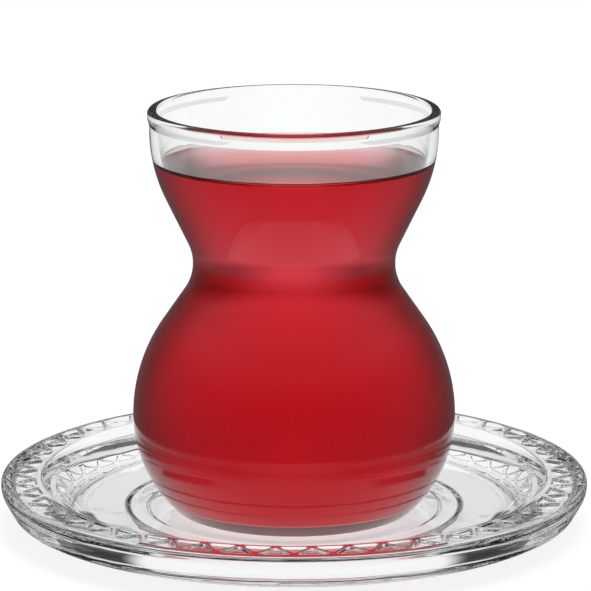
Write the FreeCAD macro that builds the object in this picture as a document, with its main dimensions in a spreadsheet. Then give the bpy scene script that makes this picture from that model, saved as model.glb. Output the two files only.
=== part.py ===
import FreeCAD, Part
import math
import os
import Sketcher

# A waisted tea glass, filled with tea, standing in the shallow seat of its pressed-glass saucer.
# Millimetres, +Z up, origin in the middle of the saucer's foot, on the table.
SIZES = {
    # glass: heights are above its own base
    "glassHeight": 86.6,
    "wallThickness": 1.8,
    "baseThickness": 3.2,
    "heelRadius": 1.5,
    "bulbRadius": 34.55,
    "bulbHeight": 20.2,
    "bulbLowerArc": 27.3,
    "bulbUpperArc": 35.6,
    "waistRadius": 21.55,
    "waistHeight": 53.4,
    "waistArc": 10.6,
    "mouthRadius": 30.6,
    "neckDrop": 4.4,
    "neckArc": 33.5,
    # lip: a fire-polished bead that flares a little
    "lipBand": 4.0,
    "lipHeight": 1.8,
    "lipFlare": 0.4,
    "lipFlareRun": 1.4,
    "lipEdgeRadius": 0.9,
    "lipBlendRadius": 2.0,
    # tea: its surface is this far below the rim
    "teaDrop": 11.1,
    # saucer: radii are measured in from its edge, except the seat, which follows the glass
    "saucerRadius": 63.0,
    "saucerHeight": 10.0,
    "rimWidth": 8.5,
    "rimEdgeRadius": 1.1,
    "ledgeDrop": 1.7,
    "ledgeRun": 2.0,
    "ledgeWidth": 1.2,
    "ledgeFall": 0.3,
    "wellDepth": 5.7,
    "wellWallRun": 4.7,
    "wellWallArc": 9.0,
    "wellFall": 0.4,
    "seatThickness": 3.0,
    "seatClearance": 1.2,
    "seatStepRun": 6.0,
    "seatBlendRadius": 4.0,
    "skirtTopHeight": 7.6,
    "skirtInset": 2.6,
    "skirtBottomHeight": 2.9,
    "skirtBlendRadius": 4.0,
    "skirtCornerRadius": 1.4,
    "footRadius": 35.5,
    "footWidth": 4.0,
    "footHollow": 0.7,
    "footSlopeRun": 0.8,
    "softEdgeRadius": 0.5,
    "undersideHeight": 1.6,
    # zigzag border pressed into the rim
    "borderRepeats": 48,
    "borderInset": 2.6,
    "borderWidth": 4.9,
    "borderRidge": 0.8,
    "borderScallop": 0.6,
    "borderDepth": 0.6,
}

# Heights and radii that several sketches share, as expressions on the sheet.
LIP_START = "(Sizes.glassHeight - Sizes.lipBand)"
NECK_HEIGHT = "(Sizes.glassHeight - Sizes.neckDrop)"
TEA_LEVEL = "(Sizes.glassHeight - Sizes.teaDrop)"
GLASS_FOOT = (
    "(Sizes.bulbRadius - Sizes.bulbLowerArc + Sizes.heelRadius"
    " + sqrt((Sizes.bulbLowerArc - Sizes.heelRadius) ^ 2 - (Sizes.bulbHeight - Sizes.heelRadius) ^ 2))"
)

doc = FreeCAD.newDocument("TeaGlassOnSaucer")


def makeSheet():
    sheet = doc.addObject("Spreadsheet::Sheet", "Sizes")
    for row, (name, value) in enumerate(SIZES.items(), start=1):
        sheet.set(f"A{row}", name)
        sheet.set(f"B{row}", str(value))
        sheet.setAlias(f"B{row}", name)
    doc.recompute()
    return sheet


sheet = makeSheet()


def evaluate(expression):
    return float(sheet.evalExpression(expression.replace("Sizes.", "")))


def makeBody(label, height):
    """A body that stands at a height above the table, given as an expression."""
    body = doc.addObject("PartDesign::Body", label)
    body.Label = label
    body.setExpression("Placement.Base.z", height)
    return body


def makeSketch(body, name, role="XZ_Plane"):
    sketch = body.newObject("Sketcher::SketchObject", name)
    plane = next(feature for feature in body.Origin.OriginFeatures if feature.Role == role)
    sketch.AttachmentSupport = [(plane, "")]
    sketch.MapMode = "FlatFace"
    return sketch


class Outline:
    """A closed chain of lines and arcs in a sketch, where each piece starts where the last ended."""

    def __init__(self, sketch):
        self.sketch = sketch
        self.pieces = []

    def addLine(self, start, end):
        line = Part.LineSegment(FreeCAD.Vector(*start, 0), FreeCAD.Vector(*end, 0))
        index = self.sketch.addGeometry(line, False)
        self.pieces.append((index, 1, 2))
        return index

    def addArc(self, centre, radius, start, end, turnsLeft):
        """An arc from start to end, anticlockwise where it turns left."""
        circle = Part.Circle(FreeCAD.Vector(*centre, 0), FreeCAD.Vector(0, 0, 1), radius)
        first, last = (start, end) if turnsLeft else (end, start)
        angles = [math.atan2(y - centre[1], x - centre[0]) for x, y in (first, last)]
        if angles[1] < angles[0]:
            angles[1] += 2 * math.pi
        index = self.sketch.addGeometry(Part.ArcOfCircle(circle, *angles), False)
        self.pieces.append((index, 1, 2) if turnsLeft else (index, 2, 1))
        return index

    def join(self, kinds):
        """Joins each piece to the next, and the last to the first: T is tangent, C a corner."""
        for number, kind in enumerate(kinds):
            index, _, end = self.pieces[number]
            following, start, _ = self.pieces[(number + 1) % len(self.pieces)]
            name = "Tangent" if kind == "T" else "Coincident"
            self.sketch.addConstraint(Sketcher.Constraint(name, index, end, following, start))

    def bind(self, kind, name, expression, *reference):
        """A named dimension that follows an expression on the sheet."""
        number = self.sketch.addConstraint(
            Sketcher.Constraint(kind, *reference, evaluate(expression)))
        self.sketch.renameConstraint(number, name)
        self.sketch.setExpression(f"Constraints.{name}", expression)

    def bindPoint(self, name, x, y, index, point):
        """Places a point; an expression of 0 puts it on the sketch's axis."""
        for kind, expression, axis in (("DistanceX", x, -2), ("DistanceY", y, -1)):
            if expression == "0":
                self.sketch.addConstraint(Sketcher.Constraint("PointOnObject", index, point, axis))
            else:
                self.bind(kind, name + kind[-1], expression, index, point)


def drawPolygon(sketch, corners):
    """A closed outline of straight sides, from corners of (x, y, rounding) expressions.

    A rounding of None leaves the corner sharp. The other corners keep a construction point.
    """
    points = [(evaluate(x), evaluate(y)) for x, y, _ in corners]
    count = len(corners)
    ends = []
    arcs = []
    for number, (x, y, rounding) in enumerate(corners):
        before, corner, after = points[number - 1], points[number], points[(number + 1) % count]
        if rounding is None:
            ends.append((corner, corner))
            arcs.append(None)
            continue
        toBefore = unit(before[0] - corner[0], before[1] - corner[1])
        toAfter = unit(after[0] - corner[0], after[1] - corner[1])
        opening = math.acos(toBefore[0] * toAfter[0] + toBefore[1] * toAfter[1])
        radius = evaluate(rounding)
        reach = radius / math.tan(opening / 2)
        middle = unit(toBefore[0] + toAfter[0], toBefore[1] + toAfter[1])
        depth = radius / math.sin(opening / 2)
        start = (corner[0] + toBefore[0] * reach, corner[1] + toBefore[1] * reach)
        end = (corner[0] + toAfter[0] * reach, corner[1] + toAfter[1] * reach)
        centre = (corner[0] + middle[0] * depth, corner[1] + middle[1] * depth)
        turnsLeft = toAfter[0] * -toBefore[1] + toAfter[1] * toBefore[0] < 0
        ends.append((start, end))
        arcs.append((centre, radius, start, end, turnsLeft))

    outline = Outline(sketch)
    kinds = ""
    sides = []
    rounds = {}
    for number in range(count):
        following = (number + 1) % count
        sides.append(outline.addLine(ends[number][1], ends[following][0]))
        if arcs[following] is None:
            kinds += "C"
        else:
            rounds[following] = outline.addArc(*arcs[following])
            kinds += "TT"
    outline.join(kinds)
    for number, (x, y, rounding) in enumerate(corners):
        name = f"corner{number}"
        if rounding is None:
            outline.bindPoint(name, x, y, sides[number], 1)
            continue
        vertex = sketch.addGeometry(Part.Point(FreeCAD.Vector(*points[number], 0)), True)
        for side in (sides[number - 1], sides[number]):
            sketch.addConstraint(Sketcher.Constraint("PointOnObject", vertex, 1, side))
        outline.bindPoint(name, x, y, vertex, 1)
        outline.bind("Radius", name + "Radius", rounding, rounds[number])
    return outline


def unit(x, y):
    length = math.hypot(x, y)
    return (x / length, y / length)


def crossTangent(centreA, radiusA, centreB, radiusB):
    """Where a line that crosses between two circles touches them, on the outer side of A."""
    dx = centreB[0] - centreA[0]
    dy = centreB[1] - centreA[1]
    direction = math.atan2(dy, dx)
    swing = math.acos((radiusA + radiusB) / math.hypot(dx, dy))
    normals = [(math.cos(direction + s * swing), math.sin(direction + s * swing)) for s in (1, -1)]
    nx, ny = max(normals)
    onA = (centreA[0] + radiusA * nx, centreA[1] + radiusA * ny)
    onB = (centreB[0] - radiusB * nx, centreB[1] - radiusB * ny)
    return onA, onB


def drawVessel(sketch, inset, floor):
    """The glass's wall from its floor to the lip, inset from the outer face by an expression.

    Outlines of every inset share the centres of their arcs, so the wall has one thickness.
    """
    shift, base, top = (evaluate(text) for text in (inset, floor, LIP_START))
    bulbX, bulbY = evaluate("Sizes.bulbRadius"), evaluate("Sizes.bulbHeight")
    lowerArc, upperArc = evaluate("Sizes.bulbLowerArc"), evaluate("Sizes.bulbUpperArc")
    waistX, waistY, waistArc = (evaluate(f"Sizes.waist{part}") for part in ("Radius", "Height", "Arc"))
    mouthX, neckArc = evaluate("Sizes.mouthRadius"), evaluate("Sizes.neckArc")
    heel = evaluate("Sizes.heelRadius")
    lowerCentre = (bulbX - lowerArc, bulbY)
    upperCentre = (bulbX - upperArc, bulbY)
    waistCentre = (waistX + waistArc, waistY)
    neckCentre = (mouthX - neckArc, evaluate(NECK_HEIGHT))

    rise = bulbY - base - heel
    heelX = lowerCentre[0] + math.sqrt((lowerArc - shift - heel) ** 2 - rise ** 2)
    heelCentre = (heelX, base + heel)
    outwards = unit(heelX - lowerCentre[0], -rise)
    heelEnd = (heelX + heel * outwards[0], base + heel + heel * outwards[1])
    widest = (bulbX - shift, bulbY)
    bulbEnd, waistStart = crossTangent(upperCentre, upperArc - shift, waistCentre, waistArc + shift)
    neckStart, waistEnd = crossTangent(neckCentre, neckArc - shift, waistCentre, waistArc + shift)
    neckEnd = (mouthX - shift, neckCentre[1])
    rimEnd = (mouthX - shift, top)

    outline = Outline(sketch)
    floorLine = outline.addLine((0, base), (heelX, base))
    heelPiece = outline.addArc(heelCentre, heel, (heelX, base), heelEnd, True)
    lowerPiece = outline.addArc(lowerCentre, lowerArc - shift, heelEnd, widest, True)
    upperPiece = outline.addArc(upperCentre, upperArc - shift, widest, bulbEnd, True)
    outline.addLine(bulbEnd, waistStart)
    waistPiece = outline.addArc(waistCentre, waistArc + shift, waistStart, waistEnd, False)
    outline.addLine(waistEnd, neckStart)
    neckPiece = outline.addArc(neckCentre, neckArc - shift, neckStart, neckEnd, True)
    mouthLine = outline.addLine(neckEnd, rimEnd)
    topLine = outline.addLine(rimEnd, (0, top))
    outline.addLine((0, top), (0, base))
    outline.join("TTTTTTTTCCC")

    sketch.addConstraint(Sketcher.Constraint("Horizontal", floorLine))
    sketch.addConstraint(Sketcher.Constraint("Vertical", mouthLine))
    sketch.addConstraint(Sketcher.Constraint("Horizontal", topLine))
    outline.bindPoint("floor", "0", floor, floorLine, 1)
    outline.bindPoint("top", "0", LIP_START, topLine, 2)
    outline.bind("Radius", "heelRadius", "Sizes.heelRadius", heelPiece)
    outline.bindPoint("lower", "Sizes.bulbRadius - Sizes.bulbLowerArc", "Sizes.bulbHeight", lowerPiece, 3)
    outline.bind("Radius", "lowerRadius", f"Sizes.bulbLowerArc - {inset}", lowerPiece)
    outline.bind("DistanceY", "upperY", "Sizes.bulbHeight", upperPiece, 3)
    outline.bind("Radius", "upperRadius", f"Sizes.bulbUpperArc - {inset}", upperPiece)
    outline.bindPoint("waist", "Sizes.waistRadius + Sizes.waistArc", "Sizes.waistHeight", waistPiece, 3)
    outline.bind("Radius", "waistRadius", f"Sizes.waistArc + {inset}", waistPiece)
    outline.bindPoint("neck", "Sizes.mouthRadius - Sizes.neckArc", NECK_HEIGHT, neckPiece, 3)
    outline.bind("Radius", "neckRadius", f"Sizes.neckArc - {inset}", neckPiece)
    return outline


def revolve(body, sketch, kind, name):
    """Turns a sketch all the way round its own vertical axis, to add or to cut."""
    feature = body.newObject(f"PartDesign::{kind}", name)
    feature.Profile = sketch
    feature.ReferenceAxis = (sketch, ["V_Axis"])
    feature.Angle = 360
    doc.recompute()
    return feature


def makeGlass():
    body = makeBody("glass", "Sizes.seatThickness")
    outer = makeSketch(body, "GlassOutside")
    drawVessel(outer, "0", "0")
    revolve(body, outer, "Revolution", "GlassBlank")
    cavity = makeSketch(body, "GlassInside")
    drawVessel(cavity, "Sizes.wallThickness", "Sizes.baseThickness")
    revolve(body, cavity, "Groove", "GlassCavity")

    inner = "Sizes.mouthRadius - Sizes.wallThickness"
    flared = "Sizes.mouthRadius + Sizes.lipFlare"
    flareStart = "Sizes.glassHeight - Sizes.lipHeight - Sizes.lipFlareRun"
    lip = makeSketch(body, "GlassLip")
    drawPolygon(lip, [
        (inner, LIP_START, None),
        ("Sizes.mouthRadius", LIP_START, None),
        ("Sizes.mouthRadius", flareStart, "Sizes.lipBlendRadius"),
        (flared, "Sizes.glassHeight - Sizes.lipHeight", "Sizes.lipBlendRadius"),
        (flared, "Sizes.glassHeight", "Sizes.lipEdgeRadius"),
        (inner, "Sizes.glassHeight", "Sizes.lipEdgeRadius"),
    ])
    revolve(body, lip, "Revolution", "GlassLipBand")
    return body


def makeTea():
    """The tea fills the glass, wall to wall, up to its level."""
    body = makeBody("tea", "Sizes.seatThickness")
    fill = makeSketch(body, "TeaInGlass")
    drawVessel(fill, "Sizes.wallThickness", "Sizes.baseThickness")
    revolve(body, fill, "Revolution", "TeaFill")
    above = makeSketch(body, "AboveTea")
    clear = "Sizes.bulbRadius + Sizes.wallThickness"
    drawPolygon(above, [
        ("0", TEA_LEVEL, None),
        (clear, TEA_LEVEL, None),
        (clear, "Sizes.glassHeight", None),
        ("0", "Sizes.glassHeight", None),
    ])
    revolve(body, above, "Groove", "TeaSurface")
    return body


def makeSaucer():
    body = makeBody("saucer", "0")
    footInner = "Sizes.footRadius - Sizes.footWidth"
    skirt = "Sizes.saucerRadius - Sizes.skirtInset"
    rimInner = "Sizes.saucerRadius - Sizes.rimWidth"
    ledgeOuter = f"{rimInner} - Sizes.ledgeRun"
    ledgeInner = f"{ledgeOuter} - Sizes.ledgeWidth"
    ledgeHeight = "Sizes.saucerHeight - Sizes.ledgeDrop"
    wellEdge = f"{ledgeInner} - Sizes.wellWallRun"
    wellHeight = "Sizes.saucerHeight - Sizes.wellDepth"
    seatRadius = f"{GLASS_FOOT} + Sizes.seatClearance"
    section = makeSketch(body, "SaucerSection")
    drawPolygon(section, [
        ("0", "Sizes.footHollow", None),
        (footInner, "Sizes.footHollow", "Sizes.softEdgeRadius"),
        (f"{footInner} + Sizes.footHollow", "0", "Sizes.softEdgeRadius"),
        ("Sizes.footRadius", "0", "Sizes.softEdgeRadius"),
        ("Sizes.footRadius + Sizes.footSlopeRun", "Sizes.undersideHeight", "Sizes.softEdgeRadius"),
        (skirt, "Sizes.skirtBottomHeight", "Sizes.skirtCornerRadius"),
        ("Sizes.saucerRadius", "Sizes.skirtTopHeight", "Sizes.skirtBlendRadius"),
        ("Sizes.saucerRadius", "Sizes.saucerHeight", "Sizes.rimEdgeRadius"),
        (rimInner, "Sizes.saucerHeight", "Sizes.rimEdgeRadius"),
        (ledgeOuter, ledgeHeight, "Sizes.softEdgeRadius"),
        (ledgeInner, f"{ledgeHeight} - Sizes.ledgeFall", "Sizes.softEdgeRadius"),
        (wellEdge, wellHeight, "Sizes.wellWallArc"),
        (f"{seatRadius} + Sizes.seatStepRun", f"{wellHeight} - Sizes.wellFall", "Sizes.seatBlendRadius"),
        (seatRadius, "Sizes.seatThickness", "Sizes.seatBlendRadius"),
        ("0", "Sizes.seatThickness", None),
    ])
    revolve(body, section, "Revolution", "SaucerBlank")
    pressBorder(body)
    return body


def pressBorder(body):
    """Sunk cells round the rim, pointing out and in by turns, with a zigzag ridge between them."""
    inner = "(Sizes.saucerRadius - Sizes.borderInset - Sizes.borderWidth)"
    outer = "(Sizes.saucerRadius - Sizes.borderInset)"
    halfPitch = "(180 deg / Sizes.borderRepeats)"
    innerSpan = f"({inner} * sin({halfPitch}))"
    outerSpan = f"({outer} * sin({halfPitch}))"
    # Half of the ridge, measured along the cells' bases and back from their tips.
    flank = f"sqrt({innerSpan} ^ 2 + Sizes.borderWidth ^ 2)"
    aside = f"(Sizes.borderRidge / 2 * {flank} / Sizes.borderWidth)"
    back = f"(Sizes.borderRidge / 2 * {flank} / {innerSpan})"

    outward = makeSketch(body, "OutwardCell", "XY_Plane")
    drawPolygon(outward, [
        (inner, f"-({innerSpan} - {aside})", None),
        (f"{outer} - {back}", "0", None),
        (inner, f"{innerSpan} - {aside}", None),
    ])
    inward = makeSketch(body, "InwardCell", "XY_Plane")
    drawScallopCell(inward, f"{inner} + {back}", outer, f"{outerSpan} - {aside}")
    inward.setExpression("AttachmentOffset.Rotation.Angle", halfPitch)
    cells = []
    for sketch, name in ((outward, "OutwardCells"), (inward, "InwardCells")):
        sketch.setExpression("AttachmentOffset.Base.z", "Sizes.saucerHeight")
        cell = body.newObject("PartDesign::Pocket", name)
        cell.Profile = sketch
        cell.setExpression("Length", "Sizes.borderDepth")
        cells.append(cell)
    doc.recompute()
    border = body.newObject("PartDesign::PolarPattern", "Border")
    border.Originals = cells
    border.Axis = (outward, ["N_Axis"])
    border.Angle = 360
    border.setExpression("Occurrences", "Sizes.borderRepeats")
    body.Tip = border
    doc.recompute()


def drawScallopCell(sketch, tip, shoulder, halfWidth):
    """A cell that points inwards, closed outside by an arc that bulges past its shoulders."""
    tipX, shoulderX, half = (evaluate(text) for text in (tip, shoulder, halfWidth))
    bulge = evaluate("Sizes.borderScallop")
    radius = (half ** 2 + bulge ** 2) / (2 * bulge)
    outline = Outline(sketch)
    shoulders = ((shoulderX, -half), (shoulderX, half))
    lower = outline.addLine((tipX, 0), shoulders[0])
    scallop = outline.addArc((shoulderX + bulge - radius, 0), radius, *shoulders, True)
    outline.addLine(shoulders[1], (tipX, 0))
    outline.join("CCC")
    sketch.addConstraint(Sketcher.Constraint("Vertical", scallop, 1, scallop, 2))
    outline.bindPoint("tip", tip, "0", lower, 1)
    outline.bindPoint("shoulder", shoulder, f"-({halfWidth})", lower, 2)
    sketch.addConstraint(Sketcher.Constraint("PointOnObject", scallop, 3, -1))
    outline.bind("Radius", "scallopRadius",
                 f"(({halfWidth}) ^ 2 + Sizes.borderScallop ^ 2) / (2 * Sizes.borderScallop)", scallop)


def checkDocument(bodies):
    """Stops where a feature failed, a sketch is loose or a body isn't one sound solid."""
    doc.recompute()
    for item in doc.Objects:
        if "Invalid" in item.State or "Error" in item.State:
            raise RuntimeError(f"{item.Name}: {item.getStatusString()}")
        if item.TypeId == "Sketcher::SketchObject" and not item.FullyConstrained:
            raise RuntimeError(f"{item.Name} is not fully constrained")
    for body in bodies:
        shape = body.Shape
        if shape.isNull() or not shape.isValid() or len(shape.Solids) != 1:
            raise RuntimeError(f"{body.Label} is not one valid solid")
        box = shape.optimalBoundingBox()
        print(f"{body.Label}: {shape.Volume / 1000:.1f} cm3, {box.XLength:.2f} x {box.YLength:.2f} wide, "
              f"from {box.ZMin:.2f} to {box.ZMax:.2f}")


bodies = [makeGlass(), makeTea(), makeSaucer()]
checkDocument(bodies)
os.makedirs("parts", exist_ok=True)
for body in bodies:
    body.Shape.exportStep(f"parts/{body.Label}.step")
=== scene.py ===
import bmesh
import bpy
import math
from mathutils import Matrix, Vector
from mathutils.geometry import delaunay_2d_cdt


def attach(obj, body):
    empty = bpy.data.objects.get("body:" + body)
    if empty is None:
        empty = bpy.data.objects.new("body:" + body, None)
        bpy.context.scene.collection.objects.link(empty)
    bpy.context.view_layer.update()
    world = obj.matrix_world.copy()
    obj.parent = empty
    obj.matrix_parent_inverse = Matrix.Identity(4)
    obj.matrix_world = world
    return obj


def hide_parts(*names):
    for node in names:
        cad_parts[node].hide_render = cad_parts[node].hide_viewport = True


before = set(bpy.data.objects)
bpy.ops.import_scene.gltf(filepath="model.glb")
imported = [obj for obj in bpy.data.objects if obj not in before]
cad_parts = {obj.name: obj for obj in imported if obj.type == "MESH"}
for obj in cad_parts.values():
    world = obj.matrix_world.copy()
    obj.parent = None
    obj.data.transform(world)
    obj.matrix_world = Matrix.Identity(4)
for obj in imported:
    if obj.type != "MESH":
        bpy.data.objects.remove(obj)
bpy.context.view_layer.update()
millimetre = 0.001
quarterTurn = math.pi / 2

# sizes below are in millimetres, radius first, then height
outlineRules = {
    "arcStep": 1.1,
    "arcTurn": math.radians(3.5),
    "longRun": 2.0,
    "hold": 0.12,          # extra points this close to both ends keep a long run straight
}


def arcPoints(centre, radius, start, end, arcTurn=outlineRules["arcTurn"]):
    bend = abs(end - start)
    steps = max(3, math.ceil(bend * radius / outlineRules["arcStep"]), math.ceil(bend / arcTurn))
    turns = [start + (end - start) * step / steps for step in range(steps + 1)]
    return [centre + radius * Vector((math.cos(turn), math.sin(turn))) for turn in turns]


def roundedLine(corners, arcTurn=outlineRules["arcTurn"]):
    line = []
    for index, (across, up, radius) in enumerate(corners):
        corner = Vector((across, up))
        if not radius:
            line.append(corner)
            continue
        before = (Vector(corners[index - 1][:2]) - corner).normalized()
        after = (Vector(corners[(index + 1) % len(corners)][:2]) - corner).normalized()
        half = before.angle(after) / 2
        centre = corner + (before + after).normalized() * radius / math.sin(half)
        begin = corner + before * radius / math.tan(half) - centre
        finish = corner + after * radius / math.tan(half) - centre
        start = math.atan2(begin.y, begin.x)
        bend = (math.atan2(finish.y, finish.x) - start + math.pi) % (2 * math.pi) - math.pi
        line += arcPoints(centre, radius, start, start + bend, arcTurn)
    return line


def heldLine(line):
    held = [line[0]]
    for point in line[1:]:
        run = point - held[-1]
        if run.length < 1e-6:
            continue
        if run.length > outlineRules["longRun"]:
            start = held[-1]
            steps = math.ceil(run.length / outlineRules["longRun"])
            held.append(start + run.normalized() * outlineRules["hold"])
            held += [start + run * step / steps for step in range(1, steps)]
            held.append(point - run.normalized() * outlineRules["hold"])
        held.append(point)
    return held


def tangentTurn(centreA, radiusA, centreB, radiusB):
    across = centreB - centreA
    direction = math.atan2(across.y, across.x)
    swing = math.acos((radiusA + radiusB) / across.length)
    return max(direction + swing, direction - swing, key=math.cos)


teaGlass = {
    "seat": 3.0,
    "standGap": 0.05,
    "height": 86.6,
    "wall": 1.8,
    "base": 3.2,
    "heel": 1.5,
    "bulbRadius": 34.55,
    "bulbHeight": 20.2,
    "bulbLowerArc": 27.3,
    "bulbUpperArc": 35.6,
    "waistRadius": 21.55,
    "waistHeight": 53.4,
    "waistArc": 10.6,
    "mouthRadius": 30.6,
    "neckDrop": 4.4,
    "neckArc": 33.5,
    "lipHeight": 1.8,
    "lipFlare": 0.4,
    "lipFlareRun": 1.4,
    "lipEdge": 0.85,
    "lipBlend": 2.0,
    "punt": 0.7,
    "puntRadius": 22.0,
    "floorRise": 0.25,
    "turns": 240,
}


def wallLine(inset, floor):
    shape = teaGlass
    lower = Vector((shape["bulbRadius"] - shape["bulbLowerArc"], shape["bulbHeight"]))
    upper = Vector((shape["bulbRadius"] - shape["bulbUpperArc"], shape["bulbHeight"]))
    waist = Vector((shape["waistRadius"] + shape["waistArc"], shape["waistHeight"]))
    neck = Vector((shape["mouthRadius"] - shape["neckArc"], shape["height"] - shape["neckDrop"]))
    lowerArc = shape["bulbLowerArc"] - inset
    upperArc = shape["bulbUpperArc"] - inset
    waistArc = shape["waistArc"] + inset
    neckArc = shape["neckArc"] - inset
    heelHeight = floor + shape["heel"]
    reach = math.sqrt((lowerArc - shape["heel"]) ** 2 - (lower.y - heelHeight) ** 2)
    heel = Vector((lower.x + reach, heelHeight))
    heelTurn = math.atan2(heel.y - lower.y, heel.x - lower.x)
    bulbTurn = tangentTurn(upper, upperArc, waist, waistArc)
    neckTurn = tangentTurn(neck, neckArc, waist, waistArc)
    line = arcPoints(heel, shape["heel"], -quarterTurn, heelTurn)
    line += arcPoints(lower, lowerArc, heelTurn, 0)
    line += arcPoints(upper, upperArc, 0, bulbTurn)
    line += arcPoints(waist, waistArc, bulbTurn + math.pi, neckTurn + math.pi)
    line += arcPoints(neck, neckArc, neckTurn, 0)
    return line


def domedLine(radius, edge, rise, steps=12):
    # from the axis out to radius, standing higher by rise on the axis
    sweep = [step / steps for step in range(steps + 1)]
    return [Vector((radius * part, edge + rise * (1 + math.cos(math.pi * part)) / 2)) for part in sweep]


def raised(line, lift):
    return [point + Vector((0, lift)) for point in line]


def glassOutline():
    shape = teaGlass
    top = shape["height"]
    inner = shape["mouthRadius"] - shape["wall"]
    flared = shape["mouthRadius"] + shape["lipFlare"]
    flareTop = top - shape["lipHeight"]
    outside = wallLine(0, shape["standGap"])
    inside = wallLine(shape["wall"], shape["base"])
    lip = roundedLine([
        (shape["mouthRadius"], outside[-1].y, 0),
        (shape["mouthRadius"], flareTop - shape["lipFlareRun"], shape["lipBlend"]),
        (flared, flareTop, shape["lipBlend"]),
        (flared, top, shape["lipEdge"]),
        (inner, top, shape["lipEdge"]),
        (inner, inside[-1].y, 0),
    ])
    under = domedLine(shape["puntRadius"], shape["standGap"], shape["punt"])
    floor = domedLine(inside[0].x, shape["base"], shape["floorRise"])
    return raised(under + outside + lip + inside[::-1] + floor[::-1], shape["seat"])


teaFill = {
    "intoWall": 0.15,
    "level": 78.3,
    "meniscus": 0.9,
    "meniscusRun": 1.6,
    "rimStep": 0.05,
    "turns": 240,
}


def teaOutline():
    fill = teaFill
    inset = teaGlass["wall"] - fill["intoWall"]
    floor = teaGlass["base"] - fill["intoWall"]
    side = raised(wallLine(inset, floor), teaGlass["seat"])
    brim = fill["level"] + fill["meniscus"]
    below = [point for point in side if point.y < brim]
    above = side[len(below)]
    share = (brim - below[-1].y) / (above.y - below[-1].y)
    edge = below[-1].lerp(above, share)
    steps = 10
    surface = []
    for step in range(steps + 1):
        part = step / steps
        surface.append(Vector((edge.x - fill["rimStep"] - fill["meniscusRun"] * part,
                               fill["level"] + fill["meniscus"] * (1 - part) ** 3)))
    bottom = domedLine(below[0].x, floor + teaGlass["seat"], teaGlass["floorRise"])
    return bottom + below + [edge] + surface + [Vector((0, fill["level"]))]


saucer = {
    "corners": [
        (0, 0.7, 0), (31.5, 0.7, 0.5), (32.2, 0.02, 0.4), (35.5, 0.02, 0.5), (36.3, 1.6, 0.7),
        (60.4, 2.9, 1.4), (63, 7.6, 4), (63, 10, 1.1), (54.5, 10, 1.1), (52.5, 8.3, 0.5),
        (51.3, 8.0, 0.5), (46.6, 4.3, 9), (33.72, 3.9, 4), (27.72, 3.0, 4), (0, 3.0, 0),
    ],
    "rimTop": 10,
    "columns": 4,
    "repeats": 48,
}
border = {
    "inner": 55.5,
    "outer": 60.4,
    "ridge": 0.8,
    "scallop": 0.6,
    "scallopSteps": 6,
    "depth": 0.6,
    "wallStart": -0.08,
    "wallRun": 0.4,
    "wallSteps": 6,
    "corner": 0.45,
    "arcTurn": math.radians(12),
    "sideSteps": 3,
    "ridgeSteps": 5,
}


def spun(point, angle):
    return Vector((point.x * math.cos(angle) - point.y * math.sin(angle),
                   point.x * math.sin(angle) + point.y * math.cos(angle)))


def cellLoop(corners, inset):
    # the cell's outline moved inwards, its sharp corners rounded
    moved = []
    count = len(corners)
    for index, corner in enumerate(corners):
        arrive = (corner - corners[index - 1]).normalized()
        leave = (corners[(index + 1) % count] - corner).normalized()
        inwards = Vector((-arrive.y, arrive.x)), Vector((-leave.y, leave.x))
        sharp = arrive.dot(leave) < 0.85
        shift = (inwards[0] + inwards[1]) / (1 + inwards[0].dot(inwards[1]))
        place = corner + shift * inset
        moved.append((place.x, place.y, max(border["corner"] - inset, 0.06) if sharp else 0))
    loop = roundedLine(moved, border["arcTurn"])
    filled = []
    for index, point in enumerate(loop):
        run = loop[(index + 1) % len(loop)] - point
        steps = border["sideSteps"] if run.length > 1.2 else 1
        filled += [point + run * step / steps for step in range(steps)]
    return filled


def borderCells():
    # one cell that points outwards and one that points inwards, closed by a scallop
    halfPitch = math.pi / saucer["repeats"]
    width = border["outer"] - border["inner"]
    innerSpan = border["inner"] * math.sin(halfPitch)
    outerSpan = border["outer"] * math.sin(halfPitch)
    flank = math.hypot(innerSpan, width)
    aside = border["ridge"] / 2 * flank / width
    back = border["ridge"] / 2 * flank / innerSpan
    outward = [Vector((border["inner"], aside - innerSpan)), Vector((border["outer"] - back, 0)),
               Vector((border["inner"], innerSpan - aside))]
    half = outerSpan - aside
    radius = (half ** 2 + border["scallop"] ** 2) / (2 * border["scallop"])
    reach = math.asin(half / radius)
    steps = border["scallopSteps"]
    arc = [-reach + 2 * reach * step / steps for step in range(steps + 1)]
    centre = border["outer"] + border["scallop"] - radius
    inward = [Vector((border["inner"] + back, 0))]
    inward += [Vector((centre + radius * math.cos(turn), radius * math.sin(turn))) for turn in arc]
    inward = [spun(point, halfPitch) for point in inward]
    return outward, inward


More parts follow.
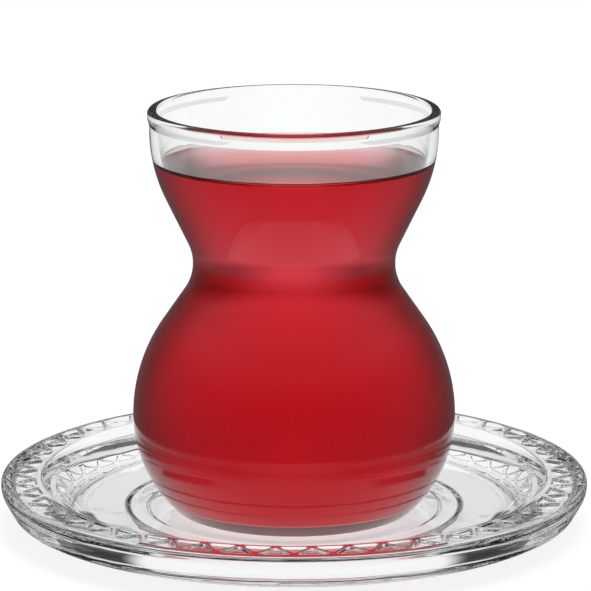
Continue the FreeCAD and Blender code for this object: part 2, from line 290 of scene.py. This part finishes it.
def borderPatch(innerRadius, outerRadius):
    # flat rim of one repeat with its two pressed cells; it ends on the middle of the ridges
    pitch = 2 * math.pi / saucer["repeats"]
    columns = saucer["columns"]
    ridgeFoot = spun(Vector((border["inner"], 0)), -pitch / 2)
    ridgeTop = Vector((border["outer"], 0))
    steps = border["ridgeSteps"]
    side = [spun(Vector((innerRadius, 0)), -pitch / 2)]
    side += [ridgeFoot.lerp(ridgeTop, step / steps) for step in range(steps + 1)]
    side.append(Vector((outerRadius, 0)))
    outerArc = [spun(Vector((outerRadius, 0)), pitch * step / columns) for step in range(1, columns)]
    innerArc = [spun(Vector((innerRadius, 0)), pitch * (step / columns - 0.5)) for step in range(1, columns)]
    edge = side + outerArc + [spun(point, pitch) for point in side[::-1]] + innerArc[::-1]
    flat = [point.copy() for point in edge]
    heights = [saucer["rimTop"]] * len(flat)
    edges = [(index, (index + 1) % len(edge)) for index in range(len(edge))]
    wall = [(border["wallStart"] - 0.05, 0.0)]
    for step in range(border["wallSteps"] + 1):
        part = step / border["wallSteps"]
        drop = border["depth"] * part * part * (3 - 2 * part)
        wall.append((border["wallStart"] + border["wallRun"] * part, drop))
    wall.append((border["wallStart"] + border["wallRun"] + 0.06, border["depth"]))
    for cell in borderCells():
        for inset, drop in wall:
            loop = cellLoop(cell, inset)
            first = len(flat)
            flat += loop
            heights += [saucer["rimTop"] - drop] * len(loop)
            edges += [(first + index, first + (index + 1) % len(loop)) for index in range(len(loop))]
    places, _, faces, origins, _, _ = delaunay_2d_cdt(flat, edges, [], 1, 1e-5)
    return [(place.x, place.y, heights[origin[0]]) for place, origin in zip(places, origins)], faces


def sectorMesh(name, strips, turns, columns=1, patch=None):
    # strips of an outline swept over one repeat
    shape = bmesh.new()
    for strip in strips:
        rows = []
        for point in strip:
            if point.x < 1e-6:
                rows.append([shape.verts.new((0, 0, point.y))] * (columns + 1))
                continue
            row = []
            for column in range(columns + 1):
                turn = 2 * math.pi / turns * (column / columns - 0.5)
                row.append(shape.verts.new((point.x * math.cos(turn), point.x * math.sin(turn), point.y)))
            rows.append(row)
        for lower, higher in zip(rows, rows[1:]):
            for column in range(columns):
                ring = [lower[column], lower[column + 1], higher[column + 1], higher[column]]
                shape.faces.new(list(dict.fromkeys(ring)))
    if patch:
        corners = [shape.verts.new(place) for place in patch[0]]
        for face in patch[1]:
            shape.faces.new([corners[index] for index in face])
    bmesh.ops.scale(shape, vec=(millimetre,) * 3, verts=shape.verts)
    mesh = bpy.data.meshes.new(name)
    shape.to_mesh(mesh)
    shape.free()
    return mesh


def turningTree():
    tree = bpy.data.node_groups.new("turnRound", "GeometryNodeTree")
    face = tree.interface
    face.new_socket("Repeat", in_out="INPUT", socket_type="NodeSocketGeometry")
    turns = face.new_socket("Turns", in_out="INPUT", socket_type="NodeSocketInt")
    turns.default_value = 48
    join = face.new_socket("Join Distance", in_out="INPUT", socket_type="NodeSocketFloat")
    join.default_value = 4e-6
    face.new_socket("Finish", in_out="INPUT", socket_type="NodeSocketMaterial")
    face.new_socket("Piece", in_out="OUTPUT", socket_type="NodeSocketGeometry")
    nodes, links = tree.nodes, tree.links
    given = nodes.new("NodeGroupInput")
    points = nodes.new("GeometryNodePoints")
    links.new(given.outputs["Turns"], points.inputs["Count"])
    index = nodes.new("GeometryNodeInputIndex")
    share = nodes.new("ShaderNodeMath")
    share.operation = "DIVIDE"
    links.new(index.outputs[0], share.inputs[0])
    links.new(given.outputs["Turns"], share.inputs[1])
    angle = nodes.new("ShaderNodeMath")
    angle.operation = "MULTIPLY"
    angle.inputs[1].default_value = 2 * math.pi
    links.new(share.outputs[0], angle.inputs[0])
    rotation = nodes.new("FunctionNodeAxisAngleToRotation")
    rotation.inputs["Axis"].default_value = (0, 0, 1)
    links.new(angle.outputs[0], rotation.inputs["Angle"])
    place = nodes.new("GeometryNodeInstanceOnPoints")
    links.new(points.outputs[0], place.inputs["Points"])
    links.new(given.outputs["Repeat"], place.inputs["Instance"])
    links.new(rotation.outputs[0], place.inputs["Rotation"])
    realize = nodes.new("GeometryNodeRealizeInstances")
    links.new(place.outputs[0], realize.inputs[0])
    merge = nodes.new("GeometryNodeMergeByDistance")
    links.new(realize.outputs[0], merge.inputs["Geometry"])
    links.new(given.outputs["Join Distance"], merge.inputs["Distance"])
    smooth = nodes.new("GeometryNodeSetShadeSmooth")
    links.new(merge.outputs[0], smooth.inputs[0])
    finish = nodes.new("GeometryNodeSetMaterial")
    links.new(smooth.outputs[0], finish.inputs["Geometry"])
    links.new(given.outputs["Finish"], finish.inputs["Material"])
    result = nodes.new("NodeGroupOutput")
    links.new(finish.outputs[0], result.inputs[0])
    return tree


turnRound = turningTree()


def turnedPiece(name, mesh, turns, material):
    piece = bpy.data.objects.new(name, mesh)
    bpy.context.scene.collection.objects.link(piece)
    turning = piece.modifiers.new("Turned", "NODES")
    turning.node_group = turnRound
    sockets = {item.name: item.identifier for item in turnRound.interface.items_tree
               if item.in_out == "INPUT"}
    turning[sockets["Turns"]] = turns
    turning[sockets["Join Distance"]] = 4e-6
    turning[sockets["Finish"]] = material
    bpy.context.view_layer.update()
    evaluated = piece.evaluated_get(bpy.context.evaluated_depsgraph_get())
    whole = bpy.data.meshes.new_from_object(evaluated)
    piece.modifiers.clear()
    piece.data = whole
    whole.name = name
    whole.materials.clear()
    whole.materials.append(material)
    for face in whole.polygons:
        face.material_index = 0
    shape = bmesh.new()
    shape.from_mesh(whole)
    bmesh.ops.recalc_face_normals(shape, faces=shape.faces)
    openEdges = sum(1 for edge in shape.edges if not edge.is_manifold)
    volume = shape.calc_volume(signed=True) / millimetre ** 3 / 1000
    shape.to_mesh(whole)
    shape.free()
    print(f"{name}: {len(whole.polygons)} faces, {openEdges} open edges, {volume:.1f} cm3")
    return piece


def newMaterial(name):
    material = bpy.data.materials.new(name)
    material.use_nodes = True
    nodes = material.node_tree.nodes
    nodes.clear()
    shader = nodes.new("ShaderNodeBsdfPrincipled")
    output = nodes.new("ShaderNodeOutputMaterial")
    material.node_tree.links.new(shader.outputs[0], output.inputs["Surface"])
    return material, shader, output


def wavinessGroup():
    # the soft waves and faint wipe marks that moulded glass has
    group = bpy.data.node_groups.new("glassWaviness", "ShaderNodeTree")
    face = group.interface
    face.new_socket("Wave Scale", in_out="INPUT", socket_type="NodeSocketFloat")
    face.new_socket("Wipe Scale", in_out="INPUT", socket_type="NodeSocketFloat")
    face.new_socket("Height", in_out="OUTPUT", socket_type="NodeSocketFloat")
    face.new_socket("Wipe", in_out="OUTPUT", socket_type="NodeSocketFloat")
    nodes, links = group.nodes, group.links
    given = nodes.new("NodeGroupInput")
    place = nodes.new("ShaderNodeTexCoord")
    waves = nodes.new("ShaderNodeTexNoise")
    waves.inputs["Detail"].default_value = 1
    links.new(place.outputs["Object"], waves.inputs["Vector"])
    links.new(given.outputs["Wave Scale"], waves.inputs["Scale"])
    wipes = nodes.new("ShaderNodeTexNoise")
    wipes.inputs["Detail"].default_value = 4
    wipes.inputs["Distortion"].default_value = 0.6
    links.new(place.outputs["Object"], wipes.inputs["Vector"])
    links.new(given.outputs["Wipe Scale"], wipes.inputs["Scale"])
    result = nodes.new("NodeGroupOutput")
    links.new(waves.outputs[0], result.inputs["Height"])
    links.new(wipes.outputs[0], result.inputs["Wipe"])
    return group


waviness = wavinessGroup()


def setMirror(shader, share):
    shader.inputs["Specular Tint"].default_value = (share, share, share, 1)


def glassMaterial(name, look):
    material, shader, _ = newMaterial(name)
    nodes, links = material.node_tree.nodes, material.node_tree.links
    surface = nodes.new("ShaderNodeGroup")
    surface.node_tree = waviness
    surface.inputs["Wave Scale"].default_value = look["waveScale"]
    surface.inputs["Wipe Scale"].default_value = look["wipeScale"]
    bump = nodes.new("ShaderNodeBump")
    bump.inputs["Strength"].default_value = look["waveStrength"]
    bump.inputs["Distance"].default_value = look["waveDepth"]
    links.new(surface.outputs["Height"], bump.inputs["Height"])
    links.new(bump.outputs[0], shader.inputs["Normal"])
    polish = nodes.new("ShaderNodeMapRange")
    polish.inputs["From Min"].default_value = 0.55
    polish.inputs["From Max"].default_value = 0.8
    polish.inputs["To Min"].default_value = look["roughness"][0]
    polish.inputs["To Max"].default_value = look["roughness"][1]
    links.new(surface.outputs["Wipe"], polish.inputs["Value"])
    links.new(polish.outputs[0], shader.inputs["Roughness"])
    tint = nodes.new("ShaderNodeMix")
    tint.data_type = "RGBA"
    tint.inputs["A"].default_value = look["tint"][0]
    tint.inputs["B"].default_value = look["tint"][1]
    links.new(surface.outputs["Wipe"], tint.inputs["Factor"])
    links.new(tint.outputs["Result"], shader.inputs["Base Color"])
    shader.inputs["IOR"].default_value = look["ior"]
    shader.inputs["Transmission Weight"].default_value = 1
    shader.inputs["Metallic"].default_value = 0
    setMirror(shader, look["mirror"])
    return material


blownLook = {
    "waveScale": 60, "waveStrength": 0.25, "waveDepth": 0.0002, "wipeScale": 90,
    "roughness": (0.0, 0.03), "tint": ((0.97, 0.985, 0.98, 1), (0.99, 1, 0.995, 1)), "ior": 1.5,
    "mirror": 0.35,
}
wetLook = dict(blownLook, mirror=0.02)     # glass hardly mirrors where tea touches it
pressedLook = {
    "waveScale": 110, "waveStrength": 0.35, "waveDepth": 0.0003, "wipeScale": 120,
    "roughness": (0.0, 0.04), "tint": ((0.97, 0.98, 0.98, 1), (0.99, 1, 1, 1)), "ior": 1.5,
    "mirror": 1,
}
teaLook = {
    "tints": ((1, 0.88, 0.84, 1), (1, 0.93, 0.9, 1)),
    "cloudScale": 70,
    "absorbed": (0.932, 0.27, 0.36, 1),
    "strength": 100,
    "cloudiness": 0.28,
    "topHeight": (0.0780, 0.0783),
    "ior": 1.333,
    "mirror": 0.02,
}


def teaMaterial():
    material, shader, output = newMaterial("blackTea")
    nodes, links = material.node_tree.nodes, material.node_tree.links
    place = nodes.new("ShaderNodeTexCoord")
    cloud = nodes.new("ShaderNodeTexNoise")
    cloud.inputs["Scale"].default_value = teaLook["cloudScale"]
    links.new(place.outputs["Object"], cloud.inputs["Vector"])
    tint = nodes.new("ShaderNodeMix")
    tint.data_type = "RGBA"
    tint.inputs["A"].default_value = teaLook["tints"][0]
    tint.inputs["B"].default_value = teaLook["tints"][1]
    links.new(cloud.outputs[0], tint.inputs["Factor"])
    links.new(tint.outputs["Result"], shader.inputs["Base Color"])
    parts = nodes.new("ShaderNodeSeparateXYZ")
    links.new(place.outputs["Object"], parts.inputs[0])
    top = nodes.new("ShaderNodeMapRange")
    top.inputs["From Min"].default_value, top.inputs["From Max"].default_value = teaLook["topHeight"]
    top.inputs["To Min"].default_value = teaLook["cloudiness"]
    top.inputs["To Max"].default_value = 0
    links.new(parts.outputs["Z"], top.inputs["Value"])
    links.new(top.outputs[0], shader.inputs["Roughness"])
    shader.inputs["IOR"].default_value = teaLook["ior"]
    shader.inputs["Transmission Weight"].default_value = 1
    setMirror(shader, teaLook["mirror"])
    depth = nodes.new("ShaderNodeVolumeAbsorption")
    depth.inputs["Color"].default_value = teaLook["absorbed"]
    depth.inputs["Density"].default_value = teaLook["strength"]
    links.new(depth.outputs[0], output.inputs["Volume"])
    return material


glassPiece = turnedPiece(
    "teaGlassWall", sectorMesh("glassSector", [heldLine(glassOutline())], teaGlass["turns"]),
    teaGlass["turns"], glassMaterial("clearGlass", blownLook))


def wetInside(piece, material):
    piece.data.materials.append(material)
    level = teaFill["level"] * millimetre
    for face in piece.data.polygons:
        outwards = Vector((face.center.x, face.center.y, 0)).normalized()
        inner = face.normal.dot(outwards) < -0.01 or face.normal.z > 0.9
        if inner and (teaGlass["seat"] + 2) * millimetre < face.center.z < level:
            face.material_index = 1


wetInside(glassPiece, glassMaterial("wetGlass", wetLook))
teaPiece = turnedPiece(
    "teaFilling", sectorMesh("teaSector", [heldLine(teaOutline())], teaFill["turns"]),
    teaFill["turns"], teaMaterial())


def saucerSector():
    line = roundedLine(saucer["corners"])
    rim = [index for index, point in enumerate(line) if abs(point.y - saucer["rimTop"]) < 1e-5]
    outside, inside = line[:rim[0] + 1], line[rim[-1]:]
    patch = borderPatch(inside[0].x, outside[-1].x)
    return sectorMesh("saucerSector", [heldLine(outside), heldLine(inside)], saucer["repeats"],
                      saucer["columns"], patch)


saucerPiece = turnedPiece("pressedSaucer", saucerSector(), saucer["repeats"],
                          glassMaterial("pressedGlass", pressedLook))

for piece, node, slot in ((glassPiece, "glass", "glass"), (teaPiece, "tea", "tea"),
                          (saucerPiece, "saucer", "saucer")):
    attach(piece, "root")
    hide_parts(node)
print("glass, tea and saucer stand in place of their plain solids")

# Walls and floor are bright to what looks through the glass, with darker places in them; those on
# the floor are painted shade. Those places were set for the front view: from the side and back the
# glass looks smokier, and from above the painted rim shade shows through the saucer as two dark arcs.
studio = {
    "floorSize": 6.0,
    "floorDrop": 0.0001,
    "floorColor": (0.2, 0.2, 0.2, 1),
    "floorGlow": 0.84,
    "wallLow": (0.62, 0.9),    # the dark of the side walls fades between these heights
    "wallHighShare": 0.3,
    "ceilingHeight": (0.3, 0.7),
    "wallSides": (0.15, 0.85),
    "floorSides": (0.25, 0.6),
    "wallDark": 0.08,
    "floorDark": 0.03,
    "farFloor": (0.064, 0.068),
    "rimFloor": (0.043, 0.045),
    "rimOuter": (0.051, 0.053),
    "besideSaucer": (0.045, 0.02),
    "rimSides": (0.62, 0.74),
    "rimFront": (-0.002, -0.006),
    "deepPath": 5,             # light that has crossed more surfaces than this came through the tea
    "plainPath": 3,            # and light that has crossed no more than this only met the saucer
    "deepSides": (0.0, 0.32),
    "deepFloor": (0.02, 0.05),
    "deepDark": 0.28,
    "deepFront": (0.0, -0.03),
    "deepWall": (0.2, 0.9),
    "deepWallDark": 0.3,
    "behindCamera": (-0.2, -0.5),
    "behindDark": 0.3,
    "room": 0.12,
    "ceiling": 0.7,
}


def rampNode(nodes, low, high):
    ramp = nodes.new("ShaderNodeMapRange")
    ramp.interpolation_type = "SMOOTHSTEP"
    ramp.inputs["From Min"].default_value = low
    ramp.inputs["From Max"].default_value = high
    return ramp


def mathNode(nodes, links, operation, first, second=None):
    node = nodes.new("ShaderNodeMath")
    node.operation = operation
    for socket, value in zip(node.inputs, (first, second)):
        if value is None:
            continue
        if isinstance(value, (int, float)):
            socket.default_value = value
        else:
            links.new(value, socket)
    return node.outputs[0]


def sidesGroup():
    # how dark the studio is towards the left and right of the set
    group = bpy.data.node_groups.new("studioSides", "ShaderNodeTree")
    face = group.interface
    face.new_socket("Direction", in_out="INPUT", socket_type="NodeSocketVector")
    face.new_socket("Bright Until", in_out="INPUT", socket_type="NodeSocketFloat")
    face.new_socket("Dark From", in_out="INPUT", socket_type="NodeSocketFloat")
    face.new_socket("Side", in_out="OUTPUT", socket_type="NodeSocketFloat")
    face.new_socket("Distance", in_out="OUTPUT", socket_type="NodeSocketFloat")
    nodes, links = group.nodes, group.links
    given = nodes.new("NodeGroupInput")
    parts = nodes.new("ShaderNodeSeparateXYZ")
    links.new(given.outputs[0], parts.inputs[0])
    x, y = parts.outputs["X"], parts.outputs["Y"]
    squares = mathNode(nodes, links, "ADD", mathNode(nodes, links, "MULTIPLY", x, x),
                       mathNode(nodes, links, "MULTIPLY", y, y))
    distance = mathNode(nodes, links, "SQRT", squares)
    aside = mathNode(nodes, links, "DIVIDE", mathNode(nodes, links, "ABSOLUTE", x), distance)
    rise = rampNode(nodes, 0, 1)
    links.new(aside, rise.inputs["Value"])
    links.new(given.outputs["Bright Until"], rise.inputs["From Min"])
    links.new(given.outputs["Dark From"], rise.inputs["From Max"])
    result = nodes.new("NodeGroupOutput")
    links.new(rise.outputs[0], result.inputs["Side"])
    links.new(distance, result.inputs["Distance"])
    return group


studioSides = sidesGroup()


def sidesNode(nodes, links, direction, span):
    sides = nodes.new("ShaderNodeGroup")
    sides.node_tree = studioSides
    sides.inputs["Bright Until"].default_value = span[0]
    sides.inputs["Dark From"].default_value = span[1]
    links.new(direction, sides.inputs["Direction"])
    return sides


def blendNode(nodes, links, factor, first, second):
    node = nodes.new("ShaderNodeMix")
    links.new(factor, node.inputs["Factor"])
    for name, value in (("A", first), ("B", second)):
        if isinstance(value, (int, float)):
            node.inputs[name].default_value = value
        else:
            links.new(value, node.inputs[name])
    return node.outputs["Result"]


def makeFloor():
    size = studio["floorSize"] / 2
    mesh = bpy.data.meshes.new("floor")
    ring = [(-size, -size), (size, -size), (size, size), (-size, size)]
    mesh.from_pydata([(x, y, -studio["floorDrop"]) for x, y in ring], [], [(0, 1, 2, 3)])
    floor = bpy.data.objects.new("floor", mesh)
    bpy.context.scene.collection.objects.link(floor)
    material = bpy.data.materials.new("paleFloor")
    material.use_nodes = True
    nodes, links = material.node_tree.nodes, material.node_tree.links
    nodes.clear()
    output = nodes.new("ShaderNodeOutputMaterial")
    path = nodes.new("ShaderNodeLightPath")
    place = nodes.new("ShaderNodeTexCoord")
    # painted shade: seen through the glass, the floor is darker far out to the left and right
    sides = sidesNode(nodes, links, place.outputs["Object"], studio["floorSides"])
    parts = nodes.new("ShaderNodeSeparateXYZ")
    links.new(place.outputs["Object"], parts.inputs[0])
    far = rampNode(nodes, *studio["farFloor"])
    links.new(sides.outputs["Distance"], far.inputs["Value"])
    mask = mathNode(nodes, links, "MULTIPLY", sides.outputs["Side"], far.outputs[0])
    empty = mathNode(nodes, links, "GREATER_THAN", path.outputs["Transmission Depth"], studio["plainPath"])
    beside = rampNode(nodes, *studio["besideSaucer"])
    links.new(parts.outputs["Y"], beside.inputs["Value"])
    allowed = mathNode(nodes, links, "MAXIMUM", empty, beside.outputs[0])
    mask = mathNode(nodes, links, "MULTIPLY", mask, allowed)
    # painted shade under the saucer's rim, at the front left and front right
    ring = rampNode(nodes, *studio["rimFloor"])
    links.new(sides.outputs["Distance"], ring.inputs["Value"])
    front = rampNode(nodes, *studio["rimFront"])
    links.new(parts.outputs["Y"], front.inputs["Value"])
    rimSides = sidesNode(nodes, links, place.outputs["Object"], studio["rimSides"])
    outer = rampNode(nodes, *studio["rimOuter"])
    outer.inputs["To Min"].default_value = 1
    outer.inputs["To Max"].default_value = 0
    links.new(sides.outputs["Distance"], outer.inputs["Value"])
    shade = mathNode(nodes, links, "MULTIPLY", ring.outputs[0], outer.outputs[0])
    shade = mathNode(nodes, links, "MULTIPLY", shade, front.outputs[0])
    shade = mathNode(nodes, links, "MULTIPLY", shade, rimSides.outputs["Side"])
    mask = mathNode(nodes, links, "MAXIMUM", mask, shade)
    seen = blendNode(nodes, links, mask, 1.0, studio["floorDark"])
    # painted shade that only the tea shows: the floor darker at the sides and at the front
    deepSides = sidesNode(nodes, links, place.outputs["Object"], studio["deepSides"])
    deepRing = rampNode(nodes, *studio["deepFloor"])
    links.new(sides.outputs["Distance"], deepRing.inputs["Value"])
    deepMask = mathNode(nodes, links, "MULTIPLY", deepSides.outputs["Side"], deepRing.outputs[0])
    deepSeen = blendNode(nodes, links, deepMask, 1.0, studio["deepDark"])
    near = rampNode(nodes, *studio["deepFront"])
    links.new(parts.outputs["Y"], near.inputs["Value"])
    deepSeen = blendNode(nodes, links, near.outputs[0], deepSeen, studio["behindDark"])
    deep = mathNode(nodes, links, "GREATER_THAN", path.outputs["Transmission Depth"], studio["deepPath"])
    seen = blendNode(nodes, links, deep, seen, deepSeen)
    glow = nodes.new("ShaderNodeEmission")
    unseen = blendNode(nodes, links, path.outputs["Is Transmission Ray"], studio["room"], seen)
    links.new(unseen, glow.inputs["Strength"])
    lit = nodes.new("ShaderNodeBsdfDiffuse")
    lit.inputs["Color"].default_value = studio["floorColor"]
    white = nodes.new("ShaderNodeEmission")
    white.inputs["Strength"].default_value = studio["floorGlow"]
    shown = nodes.new("ShaderNodeAddShader")
    links.new(lit.outputs[0], shown.inputs[0])
    links.new(white.outputs[0], shown.inputs[1])
    choose = nodes.new("ShaderNodeMixShader")
    links.new(path.outputs["Is Camera Ray"], choose.inputs[0])
    links.new(glow.outputs[0], choose.inputs[1])
    links.new(shown.outputs[0], choose.inputs[2])
    links.new(choose.outputs[0], output.inputs["Surface"])
    mesh.materials.append(material)
    return floor


def makeWorld():
    world = bpy.data.worlds.new("studio")
    bpy.context.scene.world = world
    world.use_nodes = True
    nodes, links = world.node_tree.nodes, world.node_tree.links
    nodes.clear()
    output = nodes.new("ShaderNodeOutputWorld")
    background = nodes.new("ShaderNodeBackground")
    links.new(background.outputs[0], output.inputs["Surface"])
    path = nodes.new("ShaderNodeLightPath")
    place = nodes.new("ShaderNodeTexCoord")
    sides = sidesNode(nodes, links, place.outputs["Generated"], studio["wallSides"])
    parts = nodes.new("ShaderNodeSeparateXYZ")
    links.new(place.outputs["Generated"], parts.inputs[0])
    low = rampNode(nodes, *studio["wallLow"])
    low.inputs["To Min"].default_value = 1
    low.inputs["To Max"].default_value = studio["wallHighShare"]
    links.new(parts.outputs["Z"], low.inputs["Value"])
    mask = mathNode(nodes, links, "MULTIPLY", sides.outputs["Side"], low.outputs[0])
    through = blendNode(nodes, links, mask, 1.0, studio["wallDark"])
    deepSides = sidesNode(nodes, links, place.outputs["Generated"], studio["deepWall"])
    deepThrough = blendNode(nodes, links, deepSides.outputs["Side"], 1.0, studio["deepWallDark"])
    behind = rampNode(nodes, *studio["behindCamera"])
    links.new(parts.outputs["Y"], behind.inputs["Value"])
    deepThrough = blendNode(nodes, links, behind.outputs[0], deepThrough, studio["behindDark"])
    deep = mathNode(nodes, links, "GREATER_THAN", path.outputs["Transmission Depth"], studio["deepPath"])
    through = blendNode(nodes, links, deep, through, deepThrough)
    high = rampNode(nodes, *studio["ceilingHeight"])
    links.new(parts.outputs["Z"], high.inputs["Value"])
    mirrored = blendNode(nodes, links, high.outputs[0], studio["room"], studio["ceiling"])
    unseen = blendNode(nodes, links, path.outputs["Is Transmission Ray"], mirrored, through)
    strength = blendNode(nodes, links, path.outputs["Is Camera Ray"], unseen, 1.0)
    links.new(strength, background.inputs["Strength"])


def addLamp(name, place, target, size, power):
    data = bpy.data.lights.new(name, "AREA")
    data.shape = "RECTANGLE"
    data.size, data.size_y = size
    data.energy = power
    lamp = bpy.data.objects.new(name, data)
    bpy.context.scene.collection.objects.link(lamp)
    lamp.location = place
    lamp.rotation_euler = (Vector(target) - Vector(place)).to_track_quat("-Z", "Y").to_euler()
    # hidden from glass and tea, which show the walls and floor instead
    lamp.visible_transmission = False
    lamp.visible_glossy = False


lamps = {
    "target": (0, 0, 0.04),
    "overheadSoftBox": {"place": (0.1, 0.15, 1.1), "size": (0.9, 0.7), "power": 9},
    "leftSoftBox": {"place": (-1.1, -0.7, 0.5), "size": (0.8, 1.0), "power": 1},
}
makeFloor()
makeWorld()
for name in ("overheadSoftBox", "leftSoftBox"):
    addLamp(name, lamps[name]["place"], lamps["target"], lamps[name]["size"], lamps[name]["power"])
print("floor, walls of light and lamps are set")

view = {"place": (0.0003, -0.7782, 0.2281), "aim": 0.0491, "lens": 228.06, "sensor": 36, "clip": (0.01, 50)}
cameraData = bpy.data.cameras.new("camera")
cameraData.lens = view["lens"]
cameraData.sensor_width = view["sensor"]
cameraData.clip_start = view["clip"][0]
cameraData.clip_end = view["clip"][1]
camera = bpy.data.objects.new("camera", cameraData)
bpy.context.scene.collection.objects.link(camera)
camera.location = view["place"]
tilt = math.atan2(view["place"][2] - view["aim"], -view["place"][1])
camera.rotation_euler = (quarterTurn - tilt, 0, 0)
bpy.context.scene.camera = camera

scene = bpy.context.scene
scene.view_settings.view_transform = "Standard"
scene.cycles.max_bounces = 24
scene.cycles.transmission_bounces = 24
scene.cycles.glossy_bounces = 12
scene.cycles.use_denoising = True
